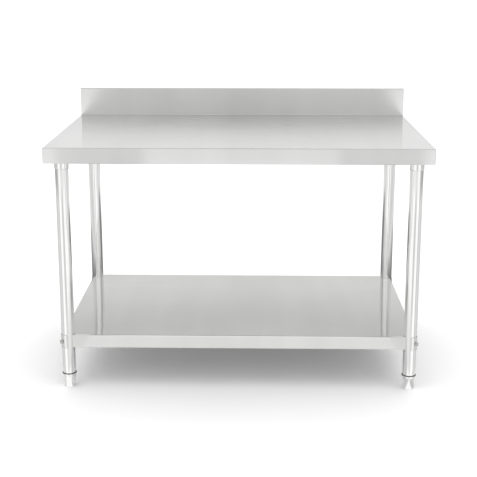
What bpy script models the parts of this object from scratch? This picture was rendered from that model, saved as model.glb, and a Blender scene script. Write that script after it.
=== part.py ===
"""Stainless steel work table with a backsplash, an undershelf and screw-adjusted feet.

Metres, +Z up, +X along the table, -Y towards the person who works at it.
The origin is on the floor, under the centre of the footprint.
"""

import math

import bmesh
import bpy
from mathutils import Matrix, Vector

# Overall size
LENGTH = 1.200
DEPTH = 0.700
WORKTOP_Z = 0.800
BACKSPLASH_HEIGHT = 0.100
BACKSPLASH_THICKNESS = 0.018
BACKSPLASH_HEM = 0.020
APRON = 0.050
APRON_RETURN = 0.012

# Sheet metal
TOP_SHEET = 0.0012
SHELF_SHEET = 0.0010
CHANNEL_SHEET = 0.0015
BEND = 0.0025
CORNER = 0.0030
RELIEF = 0.0015
BEND_STEPS = 3
GAP = 0.0003

# Legs and their places
LEG_R = 0.021
LEG_WALL = 0.0015
LEG_X = 0.5525
LEG_Y = 0.300
LEG_BOTTOM = 0.0493
ROUND = 32
SMALL_ROUND = 16

# Hat channels: the width of the raised web, of one flange, and the depth
TOP_WEB = 0.060
TOP_FLANGE = 0.012
TOP_HAT = 0.025
SHELF_WEB = 0.080
SHELF_FLANGE = 0.015
SHELF_HAT = 0.020
RAIL_FLANGE = 0.015

# Leg sockets
SOCKET_R = 0.023
SOCKET_BOTTOM = 0.726
SOCKET_ROOF = 0.003
SOCKET_FLANGE_R = 0.026
SOCKET_SCREW_Z = 0.738
SCREW_R = 0.003
SCREW_LENGTH = 0.0055
SCREW_RECESS_R = 0.0017
SCREW_RECESS = 0.002

# Undershelf: its edges run this share of the leg's radius outside the legs' centres
SHELF_Z = 0.181
SHELF_APRON = 0.044
SHELF_RETURN = 0.010
SHELF_OVERHANG = 0.7 * LEG_R
NOTCH_R = LEG_R + 0.0006
NOTCH_STEPS = 12

# Corner joint: gusset, saddle plate, bolt, washer and nut, on the outward diagonal
BOLT_Z = 0.158
BOLT_R = 0.004
HOLE_R = 0.0043
HEX_R = 0.0075
HEAD_HEIGHT = 0.0053
NUT_HEIGHT = 0.0065
NUT_TAIL = 0.0035
WASHER_R = 0.008
WASHER_HEIGHT = 0.0016
GUSSET_SHEET = 0.002
GUSSET_TAB = 0.014
SADDLE_SHEET = 0.0016
SADDLE_HEIGHT = 0.046
SADDLE_HALF_ANGLE = math.radians(56)
SADDLE_CORNER = 0.008

# Feet
COLLAR_R = 0.0235
COLLAR_BOTTOM = 0.0415
COLLAR_TOP = 0.0470
FOOT_R = 0.0195
FOOT_FLATS = 0.0350
FOOT_SHOULDER = 0.003
FOOT_CHAMFER = 0.0035
RING_R = 0.0225
STUD_R = 0.006
STUD_HOLE_R = 0.0063
STUD_SEAT = 0.032
STUD_TOP = 0.097
INSERT_LENGTH = 0.025

DIAGONAL = math.radians(45)
CORNERS = {
    "rear_right": (1, 1, 0),
    "rear_left": (-1, 1, 90),
    "front_left": (-1, -1, 180),
    "front_right": (1, -1, 270),
}


def clear_scene():
    for obj in list(bpy.data.objects):
        bpy.data.objects.remove(obj)


def steel(name, colour, roughness, metallic=1.0):
    material = bpy.data.materials.new(name)
    material.use_nodes = True
    shader = material.node_tree.nodes["Principled BSDF"]
    shader.inputs["Base Color"].default_value = (*colour, 1)
    shader.inputs["Metallic"].default_value = metallic
    shader.inputs["Roughness"].default_value = roughness
    material.diffuse_color = (*colour, 1)
    return material


# ---------------------------------------------------------------- meshes


def finished(name, bm):
    """The mesh of a bmesh, with doubled points merged, its faces facing out and round faces smooth."""
    bmesh.ops.remove_doubles(bm, verts=bm.verts, dist=1e-6)
    bmesh.ops.recalc_face_normals(bm, faces=bm.faces)
    mesh = bpy.data.meshes.new(name)
    bm.to_mesh(mesh)
    bm.free()
    mesh.shade_smooth()
    mesh.set_sharp_from_angle(angle=math.radians(30))
    return mesh


def evaluated(name, obj):
    """The mesh of an object with its modifiers applied."""
    graph = bpy.context.evaluated_depsgraph_get()
    mesh = bpy.data.meshes.new_from_object(obj.evaluated_get(graph))
    mesh.name = name
    mesh.shade_smooth()
    mesh.set_sharp_from_angle(angle=math.radians(30))
    return mesh


def loose(mesh):
    """A plain object for a mesh that is still being worked on."""
    obj = bpy.data.objects.new(mesh.name, mesh)
    bpy.context.scene.collection.objects.link(obj)
    return obj


def boolean(mesh, tool, operation):
    """mesh changed by another mesh: DIFFERENCE, UNION or INTERSECT."""
    body = loose(mesh)
    cutter = loose(tool)
    modifier = body.modifiers.new(operation.title(), "BOOLEAN")
    modifier.operation = operation
    modifier.object = cutter
    result = evaluated(mesh.name, body)
    bpy.data.objects.remove(body)
    bpy.data.objects.remove(cutter)
    return result


def thickened(mesh, sheet):
    """A skin made into sheet metal: the thickness goes to the side that its faces turn their backs to."""
    body = loose(mesh)
    modifier = body.modifiers.new("Sheet", "SOLIDIFY")
    modifier.thickness = sheet
    modifier.offset = -1
    modifier.use_even_offset = True
    modifier.use_quality_normals = True
    result = evaluated(mesh.name, body)
    bpy.data.objects.remove(body)
    return result


def skin(name, bm, towards):
    """An open skin's mesh, turned so that its first face looks along towards."""
    bmesh.ops.remove_doubles(bm, verts=bm.verts, dist=1e-6)
    bmesh.ops.recalc_face_normals(bm, faces=bm.faces)
    bm.faces.ensure_lookup_table()
    if bm.faces[0].normal.dot(Vector(towards)) < 0:
        bmesh.ops.reverse_faces(bm, faces=bm.faces)
    mesh = bpy.data.meshes.new(name)
    bm.to_mesh(mesh)
    bm.free()
    return mesh


def folded(corners, radius=BEND, steps=BEND_STEPS):
    """The section of a folded sheet: straight runs joined by arcs."""
    corners = [Vector(c) for c in corners]
    points = [corners[0]]
    for before, corner, after in zip(corners, corners[1:], corners[2:]):
        back = (before - corner).normalized()
        ahead = (after - corner).normalized()
        half = back.angle(ahead) / 2
        centre = corner + (back + ahead).normalized() * radius / math.sin(half)
        first = corner + back * radius / math.tan(half) - centre
        last = corner + ahead * radius / math.tan(half) - centre
        points += [centre + radius * first.slerp(last, i / steps) for i in range(steps + 1)]
    return [*points, corners[-1]]


def bridge(bm, rows):
    """Faces between neighbouring rows of points."""
    for row, following in zip(rows, rows[1:]):
        for a, b, c, d in zip(row, row[1:], following[1:], following):
            if (a.co - d.co).length < 1e-7 or (b.co - c.co).length < 1e-7:
                corners = [a, b, c] if (a.co - d.co).length < 1e-7 else [a, b, d]
                bm.faces.new(corners)
            else:
                bm.faces.new([a, b, c, d])


def swept(name, section, place, stations, towards, sheet):
    """Sheet metal with one section all along: place(station, point) gives each point."""
    bm = bmesh.new()
    rows = [[bm.verts.new(place(s, p)) for p in section] for s in stations]
    bridge(bm, rows)
    return finished_sheet(name, bm, towards, sheet)


def finished_sheet(name, bm, towards, sheet):
    mesh = thickened(skin(name, bm, towards), sheet)
    bm = bmesh.new()
    bm.from_mesh(mesh)
    bpy.data.meshes.remove(mesh)
    return finished(name, bm)


def turned(name, profile, segments=ROUND):
    """A closed profile of (radius, height) points turned about Z."""
    bm = bmesh.new()
    points = [bm.verts.new((r, 0, z)) for r, z in profile]
    edges = [bm.edges.new(pair) for pair in zip(points, points[1:] + points[:1])]
    bmesh.ops.spin(
        bm,
        geom=points + edges,
        cent=(0, 0, 0),
        axis=(0, 0, 1),
        angle=2 * math.pi,
        steps=segments,
        use_merge=True,
    )
    return finished(name, bm)


def ring(name, outer, inner, low, high, segments=ROUND):
    return turned(name, [(inner, low), (outer, low), (outer, high), (inner, high)], segments)


def rod(name, radius, low, high, segments=SMALL_ROUND):
    return turned(name, [(0, low), (radius, low), (radius, high), (0, high)], segments)


def hexagon(name, radius, low, high):
    return rod(name, radius, low, high, segments=6)


def along_diagonal(mesh, height):
    """Lays a piece made about +Z along the corner's outward diagonal, at a height."""
    mesh.transform(Matrix.Rotation(math.radians(90), 4, "Y"))
    mesh.transform(Matrix.Rotation(DIAGONAL, 4, "Z"))
    mesh.transform(Matrix.Translation((0, 0, height)))
    return mesh


# ---------------------------------------------------------------- sheets


BACKSPLASH_FRONT = DEPTH / 2 - BACKSPLASH_THICKNESS
BEND_START_Y = BACKSPLASH_FRONT - BEND
APRON_END_Y = BEND_START_Y - 2 * RELIEF


def rim_point(station, inset, z):
    """A point of the worktop's rim. A station is an end of a side apron or an angle round a front corner."""
    side, place = station
    if place == "rear":
        return Vector((side * (LENGTH / 2 - inset), APRON_END_Y, z))
    centre = max(CORNER, inset)
    reach = max(CORNER - inset, 0)
    x = LENGTH / 2 - centre + reach * math.cos(place)
    y = -DEPTH / 2 + centre - reach * math.sin(place)
    return Vector((side * x, y, z))


def worktop():
    """The top sheet: flat surface, aprons with returns, and the backsplash bent up along the rear."""
    low = WORKTOP_Z - APRON
    rim = folded([(2 * BEND, WORKTOP_Z), (0, WORKTOP_Z), (0, low), (APRON_RETURN, low)])[1:]
    turns = [i / BEND_STEPS * math.pi / 2 for i in range(BEND_STEPS + 1)]
    stations = [(-1, "rear"), *[(-1, t) for t in turns]]
    stations += [*[(1, t) for t in reversed(turns)], (1, "rear")]
    bm = bmesh.new()
    rows = [[bm.verts.new(rim_point(s, *p)) for p in rim] for s in stations]

    crest = WORKTOP_Z + BACKSPLASH_HEIGHT
    upstand = folded(
        [
            (APRON_END_Y, WORKTOP_Z),
            (BACKSPLASH_FRONT, WORKTOP_Z),
            (BACKSPLASH_FRONT, crest),
            (DEPTH / 2, crest),
            (DEPTH / 2, crest - BACKSPLASH_HEM),
        ]
    )[1:]
    ends = (-LENGTH / 2, LENGTH / 2)
    rear = [[bm.verts.new((x, *p)) for p in upstand] for x in ends]

    inner = LENGTH / 2 - BEND
    shoulders = [
        [bm.verts.new((side * x, APRON_END_Y + RELIEF, WORKTOP_Z)) for x in (inner, LENGTH / 2)]
        for side in (-1, 1)
    ]
    outline = [row[0] for row in rows]
    outline += [*shoulders[1], rear[1][0], rear[0][0], *reversed(shoulders[0])]
    bm.faces.new(outline)
    bridge(bm, rows)
    bridge(bm, rear)
    return finished_sheet("worktop", bm, (0, 0, 1), TOP_SHEET)


def hat(name, web, flange, depth, ends, top, sheet, across):
    """A hat channel under a flat sheet, open side up; across is 0 for one that runs along Y, 1 along X."""
    half = web / 2
    section = folded(
        [
            (-half - flange, top),
            (-half, top),
            (-half, top - depth),
            (half, top - depth),
            (half, top),
            (half + flange, top),
        ]
    )

    def place(station, point):
        return (station, point.x, point.y) if across else (point.x, station, point.y)

    return swept(name, section, place, ends, (0, 0, 1), sheet)


UNDER_WORKTOP = WORKTOP_Z - TOP_SHEET - GAP
HAT_FACE = UNDER_WORKTOP - TOP_HAT - CHANNEL_SHEET
RAIL_Y = APRON_END_Y + GAP + TOP_SHEET
RAIL_FRONT = RAIL_Y - RAIL_FLANGE


def rear_rail():
    """The Z-shaped rail that closes the rear of the worktop, just behind the side aprons' ends."""
    low = WORKTOP_Z - APRON + TOP_SHEET
    section = folded(
        [
            (RAIL_FRONT, UNDER_WORKTOP),
            (RAIL_Y, UNDER_WORKTOP),
            (RAIL_Y, low),
            (RAIL_Y + APRON_RETURN, low),
        ]
    )
    half = LENGTH / 2 - BEND - GAP
    return swept(
        "rear_rail", section, lambda x, p: (x, p.x, p.y), (-half, half), (0, 0, 1), TOP_SHEET
    )


def backsplash_cap():
    """The plate that closes one end of the backsplash, made about the end's outer face."""
    low_y = BACKSPLASH_FRONT + TOP_SHEET + GAP
    high_y = DEPTH / 2 - TOP_SHEET - GAP
    high_z = WORKTOP_Z + BACKSPLASH_HEIGHT - TOP_SHEET - GAP
    bm = bmesh.new()
    bmesh.ops.create_cube(bm, size=1)
    size = Vector((TOP_SHEET, high_y - low_y, high_z - WORKTOP_Z))
    bmesh.ops.scale(bm, vec=size, verts=bm.verts)
    upper = [
        e for e in bm.edges
        if all(v.co.z > 0 for v in e.verts) and abs(e.verts[0].co.y - e.verts[1].co.y) < 1e-6
    ]
    bmesh.ops.bevel(bm, geom=upper, offset=BEND, segments=BEND_STEPS, affect="EDGES", profile=0.5)
    centre = Vector((0, (low_y + high_y) / 2, (WORKTOP_Z + high_z) / 2))
    bmesh.ops.translate(bm, vec=centre, verts=bm.verts)
    return finished("backsplash_cap", bm)


def shelf_end(offset):
    """How far inside a leg's centre an edge stops, where it meets the leg's notch."""
    return math.sqrt(NOTCH_R**2 - offset**2)


SHELF_SIDES = (
    (LEG_X, LEG_Y, 0),
    (LEG_Y, LEG_X, 90),
    (LEG_X, LEG_Y, 180),
    (LEG_Y, LEG_X, 270),
)


def undershelf():
    """The shelf sheet: four aprons with returns, and half-round notches that hug the legs."""
    low = SHELF_Z - SHELF_APRON
    section = folded([(2 * BEND, SHELF_Z), (0, SHELF_Z), (0, low), (SHELF_RETURN, low)])[1:]
    bm = bmesh.new()
    outline = []
    for along, across, turn in SHELF_SIDES:
        spin = Matrix.Rotation(math.radians(turn), 3, "Z")
        rows = []
        for side in (-1, 1):
            row = []
            for inset, z in section:
                offset = SHELF_OVERHANG - inset
                point = Vector((side * (along - shelf_end(offset)), -across - offset, z))
                row.append(bm.verts.new(spin @ point))
            rows.append(row)
        bridge(bm, rows)
        outline += [rows[0][0], rows[1][0]]
        start = math.atan2(-SHELF_OVERHANG + BEND, -shelf_end(SHELF_OVERHANG - BEND))
        finish = math.radians(90) - (start + math.radians(180))
        start += 2 * math.pi
        sweep = start - finish
        for i in range(1, NOTCH_STEPS):
            angle = start - sweep * i / NOTCH_STEPS
            reach = NOTCH_R * Vector((math.cos(angle), math.sin(angle), 0))
            outline.append(bm.verts.new(spin @ (Vector((along, -across, SHELF_Z)) + reach)))
    bm.faces.new(outline)
    return finished_sheet("undershelf", bm, (0, -1, 0), SHELF_SHEET)


def corner_gusset():
    """The plate behind a leg: tabs along two aprons and a hollow that holds the leg."""
    line = SHELF_OVERHANG - SHELF_SHEET - GAP
    hollow = LEG_R + GAP
    reach = math.sqrt(hollow**2 - line**2)
    start = math.atan2(line, -reach)
    sweep = 2 * math.radians(225) - 2 * start
    turns = [start + sweep * i / NOTCH_STEPS for i in range(NOTCH_STEPS + 1)]
    path = [Vector((-reach - GUSSET_TAB, line))]
    path += [hollow * Vector((math.cos(t), math.sin(t))) for t in turns]
    path.append(Vector((line, -reach - GUSSET_TAB)))
    low = SHELF_Z - SHELF_APRON + BEND
    high = SHELF_Z - BEND
    mesh = swept(
        "corner_gusset", [low, high], lambda p, z: (p.x, p.y, z), path, (0, 1, 0), GUSSET_SHEET
    )
    return boolean(mesh, bolt_hole(), "DIFFERENCE")


def saddle_plate():
    """The curved washer plate with round corners that lies on the leg under the bolt's head."""
    inner = LEG_R + GAP
    end = SADDLE_HALF_ANGLE
    corner = SADDLE_CORNER / inner
    steps = 6
    plain = [i / steps * (end - corner) for i in range(steps + 1)]
    rounded = [end - corner * (1 - math.sin(math.radians(a))) for a in (30, 60, 90)]
    half = plain + rounded
    angles = [-a for a in reversed(half[1:])] + half
    bm = bmesh.new()
    rows = []
    for angle in angles:
        into = max(abs(angle) - (end - corner), 0) * inner
        drop = SADDLE_CORNER - math.sqrt(max(SADDLE_CORNER**2 - into**2, 0))
        height = SADDLE_HEIGHT / 2 - drop
        turn = DIAGONAL + angle
        rows.append(
            [
                bm.verts.new((inner * math.cos(turn), inner * math.sin(turn), BOLT_Z + z))
                for z in (-height, height)
            ]
        )
    bridge(bm, rows)
    mesh = finished_sheet("saddle_plate", bm, (-1, -1, 0), SADDLE_SHEET)
    return boolean(mesh, bolt_hole(), "DIFFERENCE")


# ---------------------------------------------------------------- round pieces


def bolt_hole():
    reach = 2 * LEG_R
    return along_diagonal(rod("bolt_hole", HOLE_R, -reach, reach), BOLT_Z)


def screw_hole():
    return along_diagonal(rod("screw_hole", SCREW_R + GAP, -2 * SOCKET_R, 0), SOCKET_SCREW_Z)


def leg_socket():
    top = HAT_FACE - GAP
    roof = top - SOCKET_ROOF
    inner = LEG_R + GAP
    mesh = turned(
        "leg_socket",
        [
            (0, roof),
            (inner, roof),
            (inner, SOCKET_BOTTOM),
            (SOCKET_R, SOCKET_BOTTOM),
            (SOCKET_R, roof),
            (SOCKET_FLANGE_R, roof),
            (SOCKET_FLANGE_R, top),
            (0, top),
        ],
    )
    return boolean(mesh, screw_hole(), "DIFFERENCE")


def socket_screw():
    """The grub screw on the inward diagonal, with its hex recess facing away from the leg."""
    tip = -LEG_R - GAP
    back = tip - SCREW_LENGTH
    mesh = rod("socket_screw", SCREW_R, back, tip)
    recess = hexagon("recess", SCREW_RECESS_R, back - SCREW_RECESS, back + SCREW_RECESS)
    return along_diagonal(boolean(mesh, recess, "DIFFERENCE"), SOCKET_SCREW_Z)


def leg():
    top = HAT_FACE - GAP - SOCKET_ROOF - GAP
    mesh = ring("leg", LEG_R, LEG_R - LEG_WALL, LEG_BOTTOM, top)
    return boolean(mesh, bolt_hole(), "DIFFERENCE")


HEAD_FACE = LEG_R + GAP + SADDLE_SHEET + GAP
WASHER_FACE = LEG_R + GAP + GUSSET_SHEET + GAP
NUT_FACE = WASHER_FACE + WASHER_HEIGHT + GAP


def leg_bolt():
    """A hex bolt whose shank ends just past its nut."""
    tail = NUT_FACE + NUT_HEIGHT + NUT_TAIL
    shank = rod("leg_bolt", BOLT_R, -tail, HEAD_FACE + HEAD_HEIGHT / 2)
    head = hexagon("head", HEX_R, HEAD_FACE, HEAD_FACE + HEAD_HEIGHT)
    return along_diagonal(boolean(shank, head, "UNION"), BOLT_Z)


def nut_washer():
    back = -WASHER_FACE - WASHER_HEIGHT
    mesh = ring("nut_washer", WASHER_R, HOLE_R, back, -WASHER_FACE, SMALL_ROUND)
    return along_diagonal(mesh, BOLT_Z)


def bolt_nut():
    mesh = hexagon("bolt_nut", HEX_R, -NUT_FACE - NUT_HEIGHT, -NUT_FACE)
    hole = rod("nut_hole", HOLE_R, -NUT_FACE - 2 * NUT_HEIGHT, 0)
    return along_diagonal(boolean(mesh, hole, "DIFFERENCE"), BOLT_Z)


def foot_insert():
    low = LEG_BOTTOM + GAP
    return ring("foot_insert", LEG_R - LEG_WALL - GAP, STUD_HOLE_R, low, low + INSERT_LENGTH)


def foot_washer():
    return ring("foot_washer", RING_R, STUD_HOLE_R, COLLAR_TOP + GAP, LEG_BOTTOM - GAP)


def foot():
    """A round collar over a body with six wrench flats, round at its shoulder and its lower edge."""
    hidden = (COLLAR_BOTTOM + COLLAR_TOP) / 2
    body = turned(
        "foot",
        [
            (0, 0),
            (FOOT_R - FOOT_CHAMFER, 0),
            (FOOT_R - FOOT_CHAMFER / 4, FOOT_CHAMFER / 2),
            (FOOT_R, 2 * FOOT_CHAMFER),
            (FOOT_R, COLLAR_BOTTOM - 2 * FOOT_SHOULDER),
            (FOOT_R - FOOT_SHOULDER, COLLAR_BOTTOM),
            (FOOT_R - FOOT_SHOULDER, hidden),
            (0, hidden),
        ],
    )
    corner = FOOT_FLATS / 2 / math.cos(math.radians(30))
    flats = hexagon("flats", corner, -COLLAR_TOP, COLLAR_TOP)
    body = boolean(body, flats, "INTERSECT")
    edge = GAP * 3
    collar = turned(
        "collar",
        [
            (0, COLLAR_BOTTOM),
            (COLLAR_R - edge, COLLAR_BOTTOM),
            (COLLAR_R, COLLAR_BOTTOM + edge),
            (COLLAR_R, COLLAR_TOP - edge),
            (COLLAR_R - edge, COLLAR_TOP),
            (0, COLLAR_TOP),
        ],
    )
    body = boolean(body, collar, "UNION")
    seat = rod("seat", STUD_HOLE_R, STUD_SEAT - GAP, 2 * COLLAR_TOP)
    return boolean(body, seat, "DIFFERENCE")


def foot_stud():
    edge = STUD_R / 4
    return turned(
        "foot_stud",
        [
            (0, STUD_SEAT),
            (STUD_R, STUD_SEAT),
            (STUD_R, STUD_TOP - edge),
            (STUD_R - edge, STUD_TOP),
            (0, STUD_TOP),
        ],
        SMALL_ROUND,
    )


# ---------------------------------------------------------------- assembly


def place(name, mesh, material, location=(0, 0, 0), parent=None):
    """One sub-part in the scene, with its own material."""
    obj = bpy.data.objects.new(name, mesh)
    obj.location = location
    obj.parent = parent
    if not mesh.materials:
        mesh.materials.append(material)
    bpy.context.scene.collection.objects.link(obj)
    return obj


def add_top(brushed, galvanised):
    place("worktop", worktop(), brushed)
    place("rear_rail", rear_rail(), brushed)
    cap = backsplash_cap()
    for name, side in (("left", -1), ("right", 1)):
        x = side * (LENGTH - TOP_SHEET) / 2
        place(f"backsplash_cap_{name}", cap, brushed, (x, 0, 0))
    ends = (-DEPTH / 2 + TOP_SHEET + BEND, RAIL_FRONT - GAP)
    sizes = (TOP_WEB, TOP_FLANGE, TOP_HAT)
    side_channel = hat("top_channel", *sizes, ends, UNDER_WORKTOP, CHANNEL_SHEET, across=0)
    for name, side in (("left", -1), ("right", 1)):
        place(f"top_channel_{name}", side_channel, galvanised, (side * LEG_X, 0, 0))
    reach = LEG_X - TOP_WEB / 2 - TOP_FLANGE - GAP
    middle = hat("top_channel_mid", *sizes, (-reach, reach), UNDER_WORKTOP, CHANNEL_SHEET, across=1)
    place("top_channel_mid", middle, galvanised)


def add_shelf(brushed, galvanised):
    place("undershelf", undershelf(), brushed)
    reach = LEG_X + SHELF_OVERHANG - SHELF_SHEET - BEND
    top = SHELF_Z - SHELF_SHEET - GAP
    sizes = (SHELF_WEB, SHELF_FLANGE, SHELF_HAT)
    channel = hat("shelf_channel", *sizes, (-reach, reach), top, SHELF_SHEET, across=1)
    place("shelf_channel", channel, galvanised)


def add_corners(pieces):
    """One copy of every corner piece at each leg, turned so that its +X and +Y point outward."""
    for corner, (x_side, y_side, turn) in CORNERS.items():
        centre = bpy.data.objects.new(f"corner_{corner}", None)
        centre.location = (x_side * LEG_X, y_side * LEG_Y, 0)
        centre.rotation_euler.z = math.radians(turn)
        bpy.context.scene.collection.objects.link(centre)
        for name, (mesh, material) in pieces.items():
            place(f"{name}_{corner}", mesh, material, parent=centre)


def main():
    clear_scene()
    brushed = steel("brushed_stainless", (0.62, 0.62, 0.61), 0.32)
    polished = steel("polished_stainless", (0.74, 0.74, 0.73), 0.10)
    galvanised = steel("galvanised_steel", (0.55, 0.57, 0.58), 0.45)
    zinc = steel("zinc_plated_steel", (0.70, 0.71, 0.72), 0.25)
    nylon = steel("black_nylon", (0.02, 0.02, 0.02), 0.50, metallic=0.0)
    add_top(brushed, galvanised)
    add_shelf(brushed, galvanised)
    add_corners(
        {
            "leg_socket": (leg_socket(), polished),
            "socket_screw": (socket_screw(), zinc),
            "leg": (leg(), polished),
            "corner_gusset": (corner_gusset(), galvanised),
            "saddle_plate": (saddle_plate(), polished),
            "leg_bolt": (leg_bolt(), zinc),
            "nut_washer": (nut_washer(), zinc),
            "bolt_nut": (bolt_nut(), zinc),
            "foot_insert": (foot_insert(), galvanised),
            "foot_washer": (foot_washer(), nylon),
            "foot": (foot(), polished),
            "foot_stud": (foot_stud(), zinc),
        }
    )


main()
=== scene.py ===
"""Looks for the stainless work table.

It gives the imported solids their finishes, replaces the round pieces with finer ones, and sets up the
studio and the camera.
"""

import math

import bmesh
import bpy
from mathutils import Matrix, Vector


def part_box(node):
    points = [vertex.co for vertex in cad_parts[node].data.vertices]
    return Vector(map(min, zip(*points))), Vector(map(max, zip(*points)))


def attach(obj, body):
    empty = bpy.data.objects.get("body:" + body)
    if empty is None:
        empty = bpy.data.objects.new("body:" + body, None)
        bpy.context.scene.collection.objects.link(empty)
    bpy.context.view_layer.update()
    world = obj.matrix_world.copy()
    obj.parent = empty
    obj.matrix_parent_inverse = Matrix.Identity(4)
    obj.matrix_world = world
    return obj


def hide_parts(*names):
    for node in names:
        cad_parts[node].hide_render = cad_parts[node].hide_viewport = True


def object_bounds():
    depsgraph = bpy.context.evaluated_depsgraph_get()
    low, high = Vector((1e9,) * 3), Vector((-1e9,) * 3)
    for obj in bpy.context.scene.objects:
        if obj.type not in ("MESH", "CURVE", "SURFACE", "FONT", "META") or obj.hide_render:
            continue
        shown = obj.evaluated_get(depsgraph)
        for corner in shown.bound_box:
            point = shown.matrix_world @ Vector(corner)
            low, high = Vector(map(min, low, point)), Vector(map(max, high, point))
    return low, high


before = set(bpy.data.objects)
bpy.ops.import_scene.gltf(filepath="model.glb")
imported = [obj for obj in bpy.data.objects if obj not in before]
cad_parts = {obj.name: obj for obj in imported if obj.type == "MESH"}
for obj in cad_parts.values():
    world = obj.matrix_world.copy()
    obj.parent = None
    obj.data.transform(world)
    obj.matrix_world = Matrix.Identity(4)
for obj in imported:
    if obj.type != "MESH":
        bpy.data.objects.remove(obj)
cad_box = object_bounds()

# Round pieces
ROUND = 96
FINE = 48
DIAGONAL = math.radians(45)
CORNERS = {"rear_right": 0, "rear_left": 90, "front_left": 180, "front_right": 270}
GAP = 0.0003

# Legs and sockets
LEG_WALL = 0.0015
EDGE = 0.0004
SOCKET_R = 0.023
SOCKET_ROOF = 0.003
SOCKET_LIP = 0.0022
SOCKET_SCREW_Z = 0.738
SCREW_HOLE_R = 0.0033

# Corner joint, on the outward diagonal
BOLT_Z = 0.158
BOLT_R = 0.004
HOLE_R = 0.0043
HEX_R = 0.0075
HEAD_HEIGHT = 0.0053
WASHER_FACE_R = 0.0066
WASHER_FACE = 0.0004
NUT_HEIGHT = 0.0065
NUT_WASHER_GAP = 0.0026
NUT_WASHER = 0.0016
NUT_TAIL = 0.0035
WASHER_R = 0.008
SADDLE_SHEET = 0.0016
SADDLE_HALF_ANGLE = math.radians(56)
SADDLE_CORNER = 0.008

# Feet
FOOT_R = 0.0195
FOOT_FLATS = 0.0350
FOOT_BASE_R = 0.0160
FOOT_BASE = 0.007
FOOT_SHOULDER = 0.0355
FOOT_NECK_R = 0.0165
COLLAR_LOW = 0.0415
STUD_R = 0.006
STUD_CORE = 0.0051
STUD_HOLE_R = 0.0063
THREAD_PITCH = 0.00175
ROWS_PER_PITCH = 6

# Studio: the brightness of the world, the sun and the lamps
WORLD_SIDES = 1.13
WORLD_ABOVE = 1.15
CEILING = 0.55
SUN_STRENGTH = 0.85
SUN_ANGLE = math.radians(70)
SUN_HEIGHT = 3.6
LAMP_POWER = 5
LAMP_SIZE = (1.2, 2.0)
LAMP_AIM = (0, 0, 0.5)
LAMP_PLACES = {"front_left": (-2.8, -3.2, 2.2), "front_right": (2.8, -3.2, 2.2)}
FLOOR_HALF = 150
FLOOR_GAP = 0.0002
FLOOR_GREY = 0.86

# The tent's walls: half its length and depth at each height
TENT_SIZE = (1.15, 0.95)
TENT_FOOT = (0.67, 0.42)
TENT_INNER = (0.565, 0.31)
TENT_STEP = 0.1
TENT_SHOULDER = 0.35
TENT_TOP = 2.4

# The tent's brightness, as pairs of a direction and a level. A direction is seen from the nearer front leg,
# in degrees: 0 is straight ahead, below 0 towards the table's middle, above 0 outwards.
ON_FLOOR = [
    (-75, 0.6),
    (-50, 0.6),
    (-36, 1.1),
    (36, 1.1),
    (50, 0.6),
    (70, 0.62),
    (90, 0.9),
    (125, 0.85),
]
AT_FLOOR = [
    (-75, 0.86),
    (-20, 0.9),
    (-16, 0.83),
    (10, 0.83),
    (14, 1.14),
    (50, 1.14),
    (54, 0.45),
    (62, 0.76),
    (80, 0.8),
    (107, 0.64),
    (140, 0.8),
]
STRIPES = [
    (-70, 1.1),
    (-20, 1.12),
    (-16, 0.7),
    (10, 0.72),
    (14, 1.14),
    (50, 1.14),
    (54, 0.45),
    (62, 0.76),
    (80, 0.82),
    (107, 0.68),
    (140, 0.8),
]
UNDER_TOP = [
    (-70, 0.93),
    (-20, 0.95),
    (-16, 0.87),
    (9, 0.88),
    (14, 1.06),
    (50, 1.12),
    (54, 0.45),
    (62, 0.66),
    (80, 0.48),
    (107, 0.4),
    (140, 0.35),
]
ABOVE_TOP = [
    (-70, 0.68),
    (-40, 0.68),
    (-33, 0.71),
    (-24, 0.75),
    (30, 0.76),
    (62, 0.76),
    (110, 0.8),
]
# Rows of the tent from the floor up: the height, its levels, and the level behind the table
TENT_ROWS = [
    (0.00, ON_FLOOR, 0.50),
    (0.03, AT_FLOOR, 0.22),
    (0.12, AT_FLOOR, 0.22),
    (0.20, STRIPES, 0.25),
    (0.26, STRIPES, 0.3),
    (0.32, STRIPES, 0.86),
    (0.42, STRIPES, 0.82),
    (0.54, STRIPES, 0.64),
    (0.62, UNDER_TOP, 0.53),
    (0.66, UNDER_TOP, 0.47),
    (1.00, ABOVE_TOP, 1.07),
]
BEHIND_FROM = -120
BEHIND_TO = 165

# Camera
LENS = 72.8
SENSOR = 36
SHIFT = -0.12
CAMERA_PLACE = (0.0535, -3.2352, 1.3337)
CAMERA_DOWN = 12.43
CAMERA_TURN = 1.054


# ---------------------------------------------------------------- shader nodes


def node(tree, kind, inputs=None, **settings):
    """A shader node; each input is a value or another node's output."""
    made = tree.nodes.new("ShaderNode" + kind)
    for key, value in settings.items():
        setattr(made, key, value)
    for key, value in (inputs or {}).items():
        if isinstance(value, bpy.types.NodeSocket):
            tree.links.new(value, made.inputs[key])
        else:
            made.inputs[key].default_value = value
    return made


def maths(tree, operation, *values, clamp=False):
    inputs = dict(enumerate(values))
    return node(tree, "Math", inputs, operation=operation, use_clamp=clamp).outputs[0]


def spread(tree, value, low, high, to_low, to_high):
    """value from low..high mapped to to_low..to_high, held at its ends."""
    inputs = {0: value, 1: low, 2: high, 3: to_low, 4: to_high}
    return node(tree, "MapRange", inputs, clamp=True).outputs[0]


def mixed(tree, factor, first, second):
    inputs = {0: factor, 2: first, 3: second}
    return node(tree, "Mix", inputs, data_type="FLOAT").outputs[0]


def noise(tree, vector, scale, detail=3.0, roughness=0.5):
    inputs = {"Vector": vector, "Scale": scale, "Detail": detail, "Roughness": roughness}
    return node(tree, "TexNoise", inputs).outputs["Fac"]


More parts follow.
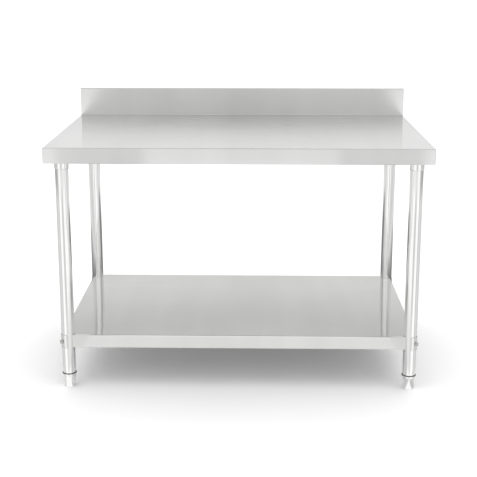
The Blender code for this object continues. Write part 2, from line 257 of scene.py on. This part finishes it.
def shade(tree, value, colour, low, high):
    """A colour that runs from low times to high times the given one as value goes from 0.3 to 0.7."""
    factor = spread(tree, value, 0.3, 0.7, 0.0, 1.0)
    dark = (*[c * low for c in colour], 1)
    light = (*[c * high for c in colour], 1)
    return node(tree, "Mix", {0: factor, 6: dark, 7: light}, data_type="RGBA").outputs[2]


def bumped(tree, height, distance, onto=None, strength=1.0):
    inputs = {"Height": height, "Distance": distance, "Strength": strength}
    if onto is not None:
        inputs["Normal"] = onto
    return node(tree, "Bump", inputs).outputs["Normal"]


def new_material(name):
    material = bpy.data.materials.new(name)
    material.use_nodes = True
    tree = material.node_tree
    tree.nodes.clear()
    output = node(tree, "OutputMaterial")
    shader = node(tree, "BsdfPrincipled")
    tree.links.new(shader.outputs[0], output.inputs["Surface"])
    return material, tree, shader


def feed(tree, shader, **inputs):
    """Sets or links the shader's inputs; an underscore in a name stands for a space."""
    for key, value in inputs.items():
        socket = shader.inputs[key.replace("_", " ")]
        if isinstance(value, bpy.types.NodeSocket):
            tree.links.new(value, socket)
        else:
            socket.default_value = value


# ---------------------------------------------------------------- finishes


def sheet_grain(tree):
    """Coordinates on folded sheet: along the brushing, across it, and the plain place."""
    place = node(tree, "TexCoord")
    xyz = node(tree, "SeparateXYZ", {0: place.outputs["Object"]}).outputs
    normal = node(tree, "SeparateXYZ", {0: place.outputs["Normal"]}).outputs
    end_face = maths(tree, "GREATER_THAN", maths(tree, "ABSOLUTE", normal["X"]), 0.7)
    flat = maths(tree, "SUBTRACT", 1.0, end_face)
    along = maths(tree, "ADD", xyz["X"], maths(tree, "MULTIPLY", xyz["Z"], end_face))
    across = maths(tree, "ADD", xyz["Y"], maths(tree, "MULTIPLY", xyz["Z"], flat))
    return along, across, place.outputs["Object"]


def stretched(tree, along, across, along_scale, across_scale):
    inputs = {
        0: maths(tree, "MULTIPLY", along, along_scale),
        1: maths(tree, "MULTIPLY", across, across_scale),
    }
    return node(tree, "CombineXYZ", inputs).outputs[0]


def brushed_sheet(name, colour, roughness, anisotropic, wave=0.0003):
    """Brushed sheet: fine grooves along X, soft bands across it, faint smears and a slight waviness."""
    material, tree, shader = new_material(name)
    along, across, place = sheet_grain(tree)
    grooves = noise(tree, stretched(tree, along, across, 7.0, 1500.0), 1.0, 4.0, 0.65)
    streaks = noise(tree, stretched(tree, along, across, 1.6, 60.0), 1.0, 3.0, 0.6)
    bands = noise(tree, stretched(tree, along, across, 9.0, 0.8), 1.0, 2.0, 0.5)
    smears = noise(tree, place, 5.0, 4.0, 0.6)
    waves = noise(tree, place, 6.0, 1.0, 0.4)
    tone = maths(tree, "ADD", maths(tree, "MULTIPLY", streaks, 0.25), maths(tree, "MULTIPLY", bands, 0.75))
    rough = maths(
        tree,
        "ADD",
        spread(tree, grooves, 0.3, 0.7, roughness - 0.015, roughness + 0.015),
        spread(tree, smears, 0.35, 0.7, -0.01, 0.015),
    )
    wavy = bumped(tree, waves, wave)
    normal = bumped(tree, grooves, 0.00001, onto=wavy, strength=0.2)
    feed(
        tree,
        shader,
        Base_Color=shade(tree, tone, colour, 0.96, 1.03),
        Metallic=1.0,
        Roughness=rough,
        Anisotropic=anisotropic,
        Tangent=node(tree, "CombineXYZ", {0: 0.0, 1: 0.97, 2: 0.24}).outputs[0],
        Normal=normal,
    )
    return material


def polished_tube(name, colour, roughness):
    """Polished round stock: faint polishing lines along its length and a few dull patches."""
    material, tree, shader = new_material(name)
    place = node(tree, "TexCoord").outputs["Object"]
    mapped = node(tree, "Mapping", {0: place, 3: (900.0, 900.0, 5.0)}).outputs[0]
    lines = noise(tree, mapped, 1.0, 3.0, 0.6)
    patches = noise(tree, place, 14.0, 4.0, 0.6)
    rough = maths(
        tree,
        "ADD",
        spread(tree, lines, 0.3, 0.7, roughness - 0.01, roughness + 0.01),
        spread(tree, patches, 0.45, 0.75, 0.0, 0.02),
    )
    wavy = bumped(tree, noise(tree, place, 9.0, 1.0), 0.00006)
    feed(
        tree,
        shader,
        Base_Color=shade(tree, patches, colour, 0.97, 1.02),
        Metallic=1.0,
        Roughness=rough,
        Normal=bumped(tree, lines, 0.000004, onto=wavy),
    )
    return material


def galvanised(name, colour, roughness):
    """Hot-dip zinc: flat crystals a few millimetres wide, each with its own grey and gloss."""
    material, tree, shader = new_material(name)
    place = node(tree, "TexCoord").outputs["Object"]
    warp = noise(tree, place, 60.0, 2.0)
    sideways = {0: maths(tree, "MULTIPLY", warp, 0.004), 1: maths(tree, "MULTIPLY", warp, -0.003)}
    moved = node(tree, "VectorMath", {0: place, 1: node(tree, "CombineXYZ", sideways).outputs[0]})
    cells = node(tree, "TexVoronoi", {"Vector": moved.outputs[0], "Scale": 110.0})
    crystal = node(tree, "SeparateXYZ", {0: cells.outputs["Color"]}).outputs
    dust = noise(tree, place, 30.0, 5.0, 0.65)
    feed(
        tree,
        shader,
        Base_Color=shade(tree, crystal["X"], colour, 0.86, 1.10),
        Metallic=1.0,
        Roughness=maths(
            tree,
            "ADD",
            spread(tree, crystal["Y"], 0.0, 1.0, roughness - 0.08, roughness + 0.06),
            spread(tree, dust, 0.45, 0.75, 0.0, 0.12),
        ),
        Normal=bumped(tree, crystal["Z"], 0.00003, strength=0.6),
    )
    return material


def zinc_plated(name, colour, roughness):
    """Bright plated fasteners: fine pits, cloudy gloss and a little dirt."""
    material, tree, shader = new_material(name)
    place = node(tree, "TexCoord").outputs["Object"]
    clouds = noise(tree, place, 260.0, 4.0, 0.6)
    pits = noise(tree, place, 2600.0, 3.0, 0.7)
    feed(
        tree,
        shader,
        Base_Color=shade(tree, clouds, colour, 0.88, 1.04),
        Metallic=1.0,
        Roughness=spread(tree, clouds, 0.3, 0.7, roughness, roughness + 0.12),
        Normal=bumped(tree, pits, 0.00001, strength=0.7),
    )
    return material


def moulded_nylon(name):
    """Black moulded nylon with a fine spark-eroded grain and a worn, paler bloom."""
    material, tree, shader = new_material(name)
    place = node(tree, "TexCoord").outputs["Object"]
    grain = noise(tree, place, 3200.0, 3.0, 0.7)
    bloom = noise(tree, place, 120.0, 4.0, 0.6)
    feed(
        tree,
        shader,
        Base_Color=shade(tree, bloom, (0.028, 0.028, 0.03), 0.7, 1.6),
        Roughness=spread(tree, bloom, 0.3, 0.7, 0.42, 0.58),
        Normal=bumped(tree, grain, 0.00002, strength=0.8),
        Specular_IOR_Level=0.5,
    )
    return material


# ---------------------------------------------------------------- mesh tools


def finished(name, bm, angle=35):
    bmesh.ops.remove_doubles(bm, verts=bm.verts, dist=1e-6)
    bmesh.ops.recalc_face_normals(bm, faces=bm.faces)
    mesh = bpy.data.meshes.new(name)
    bm.to_mesh(mesh)
    bm.free()
    mesh.shade_smooth()
    mesh.set_sharp_from_angle(angle=math.radians(angle))
    return mesh


def filleted(corners, radii, steps=5):
    """A closed outline with each corner rounded by its own radius; 0 keeps it sharp."""
    points = []
    for i, (corner, radius) in enumerate(zip(corners, radii)):
        here = Vector(corner)
        if not radius:
            points.append(here)
            continue
        back = (Vector(corners[i - 1]) - here).normalized()
        ahead = (Vector(corners[(i + 1) % len(corners)]) - here).normalized()
        half = back.angle(ahead) / 2
        centre = here + (back + ahead).normalized() * radius / math.sin(half)
        first = here + back * radius / math.tan(half) - centre
        last = here + ahead * radius / math.tan(half) - centre
        points += [centre + radius * first.slerp(last, k / steps) for k in range(steps + 1)]
    return points


def turned(name, outline, segments=ROUND):
    """A closed outline of (radius, height) points turned about Z."""
    bm = bmesh.new()
    points = [bm.verts.new((p[0], 0, p[1])) for p in outline]
    edges = [bm.edges.new(pair) for pair in zip(points, points[1:] + points[:1])]
    bmesh.ops.spin(
        bm,
        geom=points + edges,
        cent=(0, 0, 0),
        axis=(0, 0, 1),
        angle=math.tau,
        steps=segments,
        use_merge=True,
    )
    return finished(name, bm)


def tube(name, outer, inner, low, high, edge, segments=ROUND):
    corners = [(inner, low), (outer, low), (outer, high), (inner, high)]
    return turned(name, filleted(corners, [edge] * 4), segments)


def solid(name, radius, low, high, edge=0.0, segments=FINE):
    corners = [(0, low), (radius, low), (radius, high), (0, high)]
    return turned(name, filleted(corners, [0, edge, edge, 0]), segments)


def joined(mesh, tool, operation):
    """mesh changed by another mesh with an exact Boolean."""
    scene = bpy.context.scene.collection
    body = bpy.data.objects.new(mesh.name, mesh)
    cutter = bpy.data.objects.new("cutter", tool)
    scene.objects.link(body)
    scene.objects.link(cutter)
    modifier = body.modifiers.new(operation.title(), "BOOLEAN")
    modifier.operation = operation
    modifier.object = cutter
    graph = bpy.context.evaluated_depsgraph_get()
    result = bpy.data.meshes.new_from_object(body.evaluated_get(graph))
    result.name = mesh.name
    bpy.data.objects.remove(body)
    bpy.data.objects.remove(cutter)
    result.shade_smooth()
    result.set_sharp_from_angle(angle=math.radians(30))
    return result


def along_diagonal(mesh, height):
    """Lays a piece made about +Z along the corner's outward diagonal, at a height."""
    mesh.transform(Matrix.Rotation(math.radians(90), 4, "Y"))
    mesh.transform(Matrix.Rotation(DIAGONAL, 4, "Z"))
    mesh.transform(Matrix.Translation((0, 0, height)))
    return mesh


# ---------------------------------------------------------------- detailed pieces


def corner_box(name):
    """A corner node's box in its own corner frame: its radius about the leg, lowest and highest."""
    low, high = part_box(f"{name}_rear_right")
    return (high.x - low.x) / 2, low.z, high.z


LEG_R, LEG_LOW, LEG_HIGH = corner_box("leg")
SOCKET_FLANGE_R, SOCKET_LOW, SOCKET_HIGH = corner_box("leg_socket")
RING_R, RING_LOW, RING_HIGH = corner_box("foot_washer")
COLLAR_R, _, FOOT_HIGH = corner_box("foot")
INSERT_R, INSERT_LOW, INSERT_HIGH = corner_box("foot_insert")
_, STUD_LOW, STUD_HIGH = corner_box("foot_stud")
_, SADDLE_LOW, SADDLE_HIGH = corner_box("saddle_plate")
SADDLE_HEIGHT = SADDLE_HIGH - SADDLE_LOW
SADDLE_R = LEG_R + GAP
HEAD_FACE = LEG_R + GAP + SADDLE_SHEET + GAP
NUT_WASHER_FACE = LEG_R + NUT_WASHER_GAP
NUT_FACE = NUT_WASHER_FACE + NUT_WASHER + GAP
BOLT_TAIL = NUT_FACE + NUT_HEIGHT + NUT_TAIL


def bolt_hole():
    return along_diagonal(solid("bolt_hole", HOLE_R, -2 * LEG_R, 2 * LEG_R), BOLT_Z)


def leg_tube():
    mesh = tube("leg_tube", LEG_R, LEG_R - LEG_WALL, LEG_LOW, LEG_HIGH, EDGE)
    return joined(mesh, bolt_hole(), "DIFFERENCE")


def socket_cup():
    """The cup that the leg pushes up into, with a rolled lip, a screw hole and a flange on top."""
    roof = SOCKET_HIGH - SOCKET_ROOF
    inner = LEG_R + GAP
    corners = [
        (0, roof),
        (inner, roof),
        (inner, SOCKET_LOW),
        (SOCKET_R, SOCKET_LOW),
        (SOCKET_R, roof),
        (SOCKET_FLANGE_R, roof),
        (SOCKET_FLANGE_R, SOCKET_HIGH),
        (0, SOCKET_HIGH),
    ]
    radii = [0, EDGE, EDGE, SOCKET_LIP, EDGE, EDGE, EDGE, 0]
    hole = along_diagonal(solid("screw_hole", SCREW_HOLE_R, -2 * SOCKET_R, 0), SOCKET_SCREW_Z)
    return joined(turned("socket_cup", filleted(corners, radii)), hole, "DIFFERENCE")


def saddle_outline():
    """Pairs of the saddle's turn from its middle and half its height there, from edge to edge."""
    corner = SADDLE_CORNER / SADDLE_R
    plain = [i / 12 * (SADDLE_HALF_ANGLE - corner) for i in range(13)]
    rounded = [SADDLE_HALF_ANGLE - corner * (1 - math.sin(math.radians(a))) for a in range(10, 100, 10)]
    half = plain + rounded
    outline = []
    for angle in [-a for a in reversed(half[1:])] + half:
        into = max(abs(angle) - (SADDLE_HALF_ANGLE - corner), 0) * SADDLE_R
        drop = SADDLE_CORNER - math.sqrt(max(SADDLE_CORNER**2 - into**2, 0))
        outline.append((angle, SADDLE_HEIGHT / 2 - drop))
    return outline


def saddle():
    """The curved washer plate with round corners and eased edges that lies on the leg."""
    bm = bmesh.new()
    rows = []
    for angle, height in saddle_outline():
        x = SADDLE_R * math.cos(DIAGONAL + angle)
        y = SADDLE_R * math.sin(DIAGONAL + angle)
        rows.append([bm.verts.new((x, y, BOLT_Z + z)) for z in (-height, height)])
    for row, following in zip(rows, rows[1:]):
        bm.faces.new([row[0], following[0], following[1], row[1]])
    bmesh.ops.recalc_face_normals(bm, faces=bm.faces)
    bm.faces.ensure_lookup_table()
    middle = bm.faces[len(bm.faces) // 2]
    if middle.normal.dot(Vector((1, 1, 0))) < 0:
        bmesh.ops.reverse_faces(bm, faces=bm.faces)
    bmesh.ops.solidify(bm, geom=bm.faces[:], thickness=-SADDLE_SHEET)
    rim = [e for e in bm.edges if e.is_manifold and e.calc_face_angle() > math.radians(60)]
    bmesh.ops.bevel(bm, geom=rim, offset=EDGE, segments=2, affect="EDGES", profile=0.5)
    return joined(finished("saddle", bm), bolt_hole(), "DIFFERENCE")


def hexagon(name, low, high, chamfer_low=False):
    """A hexagon bar with its corners turned off at one end or both."""
    across = HEX_R * math.cos(math.radians(30))
    cut = (HEX_R - across) * 1.1
    fall = cut * math.tan(math.radians(30))
    bar = solid(name, HEX_R, low, high, segments=6)
    foot = cut if chamfer_low else 0
    outline = [
        (0, low),
        (HEX_R * 1.01 - foot, low),
        (HEX_R * 1.01, low + (fall if chamfer_low else 0)),
        (HEX_R * 1.01, high - fall),
        (HEX_R * 1.01 - cut, high),
        (0, high),
    ]
    if not chamfer_low:
        outline.pop(1)
    return joined(bar, turned("cone", outline, FINE), "INTERSECT")


def hex_bolt():
    """A hex bolt with a washer face under its head."""
    head = hexagon("hex_bolt", HEAD_FACE + WASHER_FACE, HEAD_FACE + HEAD_HEIGHT)
    seat = solid("seat", WASHER_FACE_R, HEAD_FACE, HEAD_FACE + HEAD_HEIGHT / 2)
    shank = solid("shank", BOLT_R, -BOLT_TAIL, HEAD_FACE + HEAD_HEIGHT / 2, 2 * EDGE)
    return along_diagonal(joined(joined(head, seat, "UNION"), shank, "UNION"), BOLT_Z)


def hex_nut():
    nut = hexagon("hex_nut", -NUT_FACE - NUT_HEIGHT, -NUT_FACE, chamfer_low=True)
    hole = solid("hole", HOLE_R, -2 * BOLT_TAIL, 0)
    return along_diagonal(joined(nut, hole, "DIFFERENCE"), BOLT_Z)


def flat_washer():
    low = -NUT_WASHER_FACE - NUT_WASHER
    mesh = tube("flat_washer", WASHER_R, HOLE_R, low, -NUT_WASHER_FACE, EDGE / 2, FINE)
    return along_diagonal(mesh, BOLT_Z)


def threaded_insert():
    return tube("threaded_insert", INSERT_R, STUD_HOLE_R, INSERT_LOW, INSERT_HIGH, EDGE)


def nylon_ring():
    return tube("nylon_ring", RING_R, STUD_HOLE_R, RING_LOW, RING_HIGH, EDGE)


def foot_body():
    """The round body of a foot, up into its collar, with six wrench flats that cut it into scallops."""
    top = (COLLAR_LOW + FOOT_HIGH) / 2
    corners = [
        (0, 0),
        (FOOT_BASE_R, 0),
        (FOOT_R, FOOT_BASE),
        (FOOT_R, FOOT_SHOULDER),
        (FOOT_NECK_R, COLLAR_LOW - 0.0005),
        (FOOT_NECK_R, top),
        (0, top),
    ]
    body = turned("bullet_foot", filleted(corners, [0, 0.003, 0.004, 0.003, 0.0006, 0, 0]))
    across = FOOT_FLATS / 2 / math.cos(math.radians(30))
    flats = solid("flats", across, -FOOT_HIGH, FOOT_HIGH, segments=6)
    return joined(body, flats, "INTERSECT")


def bullet_foot():
    """A foot's body under its collar, with the seat for the stud."""
    corners = [(0, COLLAR_LOW), (COLLAR_R, COLLAR_LOW), (COLLAR_R, FOOT_HIGH), (0, FOOT_HIGH)]
    collar = turned("collar", filleted(corners, [0, 0.0014, 0.0009, 0]))
    body = joined(foot_body(), collar, "UNION")
    seat = solid("seat", STUD_HOLE_R, STUD_LOW - GAP, 2 * FOOT_HIGH)
    return joined(body, seat, "DIFFERENCE")


def thread_grid(bm, columns):
    """Rows of points on the stud, which climb one pitch in each turn."""
    depth = [0.0, 0.0, 0.5, 1.0, 1.0, 0.5]
    rise = THREAD_PITCH / ROWS_PER_PITCH
    rows = math.ceil((STUD_HIGH - STUD_LOW) / rise) + ROWS_PER_PITCH

    def point(row, column):
        height = STUD_LOW + (row - ROWS_PER_PITCH) * rise + THREAD_PITCH * column / columns
        inside = STUD_LOW < height < STUD_HIGH
        radius = STUD_CORE + (STUD_R - STUD_CORE) * depth[row % ROWS_PER_PITCH] * inside
        turn = math.tau * column / columns
        height = min(max(height, STUD_LOW), STUD_HIGH)
        return bm.verts.new((radius * math.cos(turn), radius * math.sin(turn), height))

    return [[point(row, column) for column in range(columns)] for row in range(rows + ROWS_PER_PITCH)]


def threaded_stud():
    """A stud whose rows of points follow the thread, from root to crest and back in each pitch."""
    columns = FINE // 2
    bm = bmesh.new()
    grid = thread_grid(bm, columns)
    for row in range(len(grid) - 1):
        for column in range(columns):
            last = column == columns - 1
            step = ROWS_PER_PITCH if last else 0
            if row + 1 + step >= len(grid):
                continue
            beside = 0 if last else column + 1
            near = [grid[row][column], grid[row + 1][column]]
            far = [grid[row + step][beside], grid[row + 1 + step][beside]]
            bm.faces.new([near[0], far[0], far[1], near[1]])
    bmesh.ops.remove_doubles(bm, verts=bm.verts, dist=1e-6)
    bmesh.ops.dissolve_degenerate(bm, edges=bm.edges, dist=1e-6)
    bmesh.ops.holes_fill(bm, edges=[e for e in bm.edges if e.is_boundary])
    return finished("threaded_stud", bm, 50)


# ---------------------------------------------------------------- placing


def add_corner_piece(name, mesh, material, node_name, body_name=None):
    """One copy of a corner piece at each leg, riding on its body and standing for its CAD node."""
    mesh.materials.clear()
    mesh.materials.append(material)
    for corner, turn in CORNERS.items():
        low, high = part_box(f"leg_{corner}")
        middle = (low + high) / 2
        piece = bpy.data.objects.new(f"{name}_{corner}", mesh)
        bpy.context.scene.collection.objects.link(piece)
        piece.location = (middle.x, middle.y, 0)
        piece.rotation_euler.z = math.radians(turn)
        bpy.context.view_layer.update()
        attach(piece, f"{body_name}_{corner}" if body_name else "table_frame")
        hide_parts(f"{node_name}_{corner}")


def finish_nodes(material, *names):
    """Gives CAD nodes whose shape is right their finish."""
    for name in names:
        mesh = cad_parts[name].data
        mesh.materials.clear()
        mesh.materials.append(material)


# ---------------------------------------------------------------- studio


def studio_world():
    """A plain white studio that mirrors see as a grey ceiling above the tent."""
    world = bpy.data.worlds.new("studio")
    world.use_nodes = True
    tree = world.node_tree
    tree.nodes.clear()
    way = node(tree, "SeparateXYZ", {0: node(tree, "TexCoord").outputs["Generated"]}).outputs
    level = spread(tree, way["Z"], 0.0, 1.0, WORLD_SIDES, WORLD_ABOVE)
    path = node(tree, "LightPath").outputs
    mirrored = mixed(tree, path["Is Glossy Ray"], level, CEILING)
    strength = mixed(tree, path["Is Camera Ray"], mirrored, 1.0)
    background = node(tree, "Background", {"Color": (1, 1, 1, 1), "Strength": strength})
    output = node(tree, "OutputWorld")
    tree.links.new(background.outputs[0], output.inputs["Surface"])
    bpy.context.scene.world = world


def tent_ring(tree, share, levels, behind):
    """The tent's brightness at one height; share is 0 to 1 as the direction goes from -180 to 180."""
    ramp = node(tree, "ValToRGB", {0: share})
    elements = ramp.color_ramp.elements
    levels = [(-180, behind), (BEHIND_FROM, behind), *levels, (BEHIND_TO, behind), (180, behind)]
    for degrees, level in levels[1:-1]:
        elements.new(degrees / 360 + 0.5)
    for element, (degrees, level) in zip(elements, levels):
        element.position = degrees / 360 + 0.5
        element.color = (level, level, level, 1)
    return ramp.outputs["Color"]


def tent_material():
    """Emission in bands that the front legs see as upright, with rows of levels by height."""
    material = bpy.data.materials.new("reflector_tent")
    material.use_nodes = True
    tree = material.node_tree
    tree.nodes.clear()
    low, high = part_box("leg_front_right")
    leg = (low + high) / 2
    place = node(tree, "SeparateXYZ", {0: node(tree, "TexCoord").outputs["Object"]}).outputs
    outward = maths(tree, "SUBTRACT", maths(tree, "ABSOLUTE", place["X"]), leg.x)
    forward = maths(tree, "SUBTRACT", leg.y, place["Y"])
    turn = maths(tree, "ARCTAN2", outward, forward)
    share = maths(tree, "ADD", maths(tree, "DIVIDE", turn, math.tau), 0.5)
    height, levels, behind = TENT_ROWS[0]
    strength = tent_ring(tree, share, levels, behind)
    for upper, levels, behind in TENT_ROWS[1:]:
        rise = spread(tree, place["Z"], height, upper, 0.0, 1.0)
        ring = tent_ring(tree, share, levels, behind)
        strength = mixed(tree, rise, strength, ring)
        height = upper
    emission = node(tree, "Emission", {"Color": (1, 1, 1, 1), "Strength": strength})
    output = node(tree, "OutputMaterial")
    tree.links.new(emission.outputs[0], output.inputs["Surface"])
    return material


def rounded_ring(size, power):
    """Points round an oval; a power below 1 squares it up."""
    ring = []
    for i in range(ROUND):
        turn = math.tau * i / ROUND
        ways = (math.cos(turn), math.sin(turn))
        ring.append([half * math.copysign(abs(way) ** power, way) for half, way in zip(size, ways)])
    return ring


def tent_mesh():
    """An oval wall that closes in on the legs below its shoulder, with a rim on the floor."""
    oval = rounded_ring(TENT_SIZE, 1.0)
    box = rounded_ring(TENT_FOOT, 0.4)
    rim = rounded_ring(TENT_INNER, 0.1)
    rings = [(rim, 0), (box, 0), (box, TENT_STEP), (oval, TENT_SHOULDER), (oval, TENT_TOP)]
    bm = bmesh.new()
    rows = [[bm.verts.new((*point, height)) for point in ring] for ring, height in rings]
    for row, above in zip(rows, rows[1:]):
        for i in range(ROUND):
            bm.faces.new([row[i - 1], row[i], above[i], above[i - 1]])
    return finished("reflector_tent", bm)


def reflector_tent():
    """A lit wall round the table that only mirrors see, for the light and grey bands on the tubes."""
    tent = bpy.data.objects.new("reflector_tent", tent_mesh())
    tent.data.materials.append(tent_material())
    bpy.context.scene.collection.objects.link(tent)
    tent.visible_camera = False
    tent.visible_diffuse = False
    tent.visible_shadow = False


def area_light(name, place):
    lamp = bpy.data.lights.new(name, "AREA")
    lamp.shape = "RECTANGLE"
    lamp.size, lamp.size_y = LAMP_SIZE
    lamp.energy = LAMP_POWER
    holder = bpy.data.objects.new(name, lamp)
    holder.location = place
    holder.rotation_euler = (Vector(LAMP_AIM) - Vector(place)).to_track_quat("-Z", "Y").to_euler()
    bpy.context.scene.collection.objects.link(holder)


def soft_sun():
    """Wide, straight overhead light that gathers the shadow under the table; mirrors don't see it."""
    lamp = bpy.data.lights.new("overhead", "SUN")
    lamp.angle = SUN_ANGLE
    lamp.energy = SUN_STRENGTH
    holder = bpy.data.objects.new("overhead", lamp)
    holder.location.z = SUN_HEIGHT
    holder.visible_glossy = False
    bpy.context.scene.collection.objects.link(holder)


def studio_floor():
    material, tree, shader = new_material("studio_floor")
    place = node(tree, "TexCoord").outputs["Object"]
    cloud = noise(tree, place, 1.2, 3.0)
    feed(
        tree,
        shader,
        Base_Color=shade(tree, cloud, (FLOOR_GREY, FLOOR_GREY, FLOOR_GREY), 0.99, 1.01),
        Roughness=0.9,
        Specular_IOR_Level=0.0,
    )
    bm = bmesh.new()
    bmesh.ops.create_grid(bm, x_segments=8, y_segments=8, size=FLOOR_HALF)
    floor = bpy.data.objects.new("studio_floor", finished("studio_floor", bm))
    floor.data.materials.append(material)
    bpy.context.scene.collection.objects.link(floor)
    floor.location.z = cad_box[0].z - FLOOR_GAP


def camera():
    lens = bpy.data.cameras.new("camera")
    lens.lens = LENS
    lens.sensor_width = SENSOR
    lens.shift_y = SHIFT
    holder = bpy.data.objects.new("camera", lens)
    holder.location = CAMERA_PLACE
    holder.rotation_euler = (math.radians(90 - CAMERA_DOWN), 0, math.radians(CAMERA_TURN))
    bpy.context.scene.collection.objects.link(holder)
    bpy.context.scene.camera = holder


# ---------------------------------------------------------------- the table


def dress_sheets():
    top = brushed_sheet("brushed_top", (0.76, 0.76, 0.755), 0.17, 1.0)
    shelf = brushed_sheet("brushed_shelf", (0.81, 0.81, 0.80), 0.12, 1.0, 0.0006)
    zinc_sheet = galvanised("galvanised_steel", (0.55, 0.57, 0.58), 0.42)
    finish_nodes(top, "worktop", "rear_rail", "backsplash_cap_left", "backsplash_cap_right")
    finish_nodes(shelf, "undershelf")
    finish_nodes(zinc_sheet, "top_channel_left", "top_channel_mid", "top_channel_right", "shelf_channel")
    finish_nodes(zinc_sheet, *[f"corner_gusset_{corner}" for corner in CORNERS])
    return zinc_sheet


def dress_corners(zinc_sheet):
    bright = polished_tube("polished_tube", (0.88, 0.88, 0.875), 0.045)
    satin = polished_tube("satin_plate", (0.78, 0.78, 0.775), 0.17)
    plated = zinc_plated("zinc_plated_steel", (0.62, 0.62, 0.61), 0.18)
    nylon = moulded_nylon("black_nylon")
    finish_nodes(plated, *[f"socket_screw_{corner}" for corner in CORNERS])
    add_corner_piece("leg_tube", leg_tube(), bright, "leg")
    add_corner_piece("socket_cup", socket_cup(), bright, "leg_socket")
    add_corner_piece("saddle", saddle(), satin, "saddle_plate")
    add_corner_piece("hex_bolt", hex_bolt(), plated, "leg_bolt")
    add_corner_piece("hex_nut", hex_nut(), plated, "bolt_nut")
    add_corner_piece("flat_washer", flat_washer(), plated, "nut_washer")
    add_corner_piece("threaded_insert", threaded_insert(), zinc_sheet, "foot_insert")
    add_corner_piece("nylon_ring", nylon_ring(), nylon, "foot_washer", "foot_ring")
    add_corner_piece("bullet_foot", bullet_foot(), bright, "foot", "screw_foot")
    add_corner_piece("threaded_stud", threaded_stud(), plated, "foot_stud", "screw_foot")


def main():
    dress_corners(dress_sheets())
    studio_world()
    reflector_tent()
    studio_floor()
    soft_sun()
    for name, place in LAMP_PLACES.items():
        area_light(name, place)
    camera()
    bpy.context.scene.view_settings.view_transform = "Standard"


main()
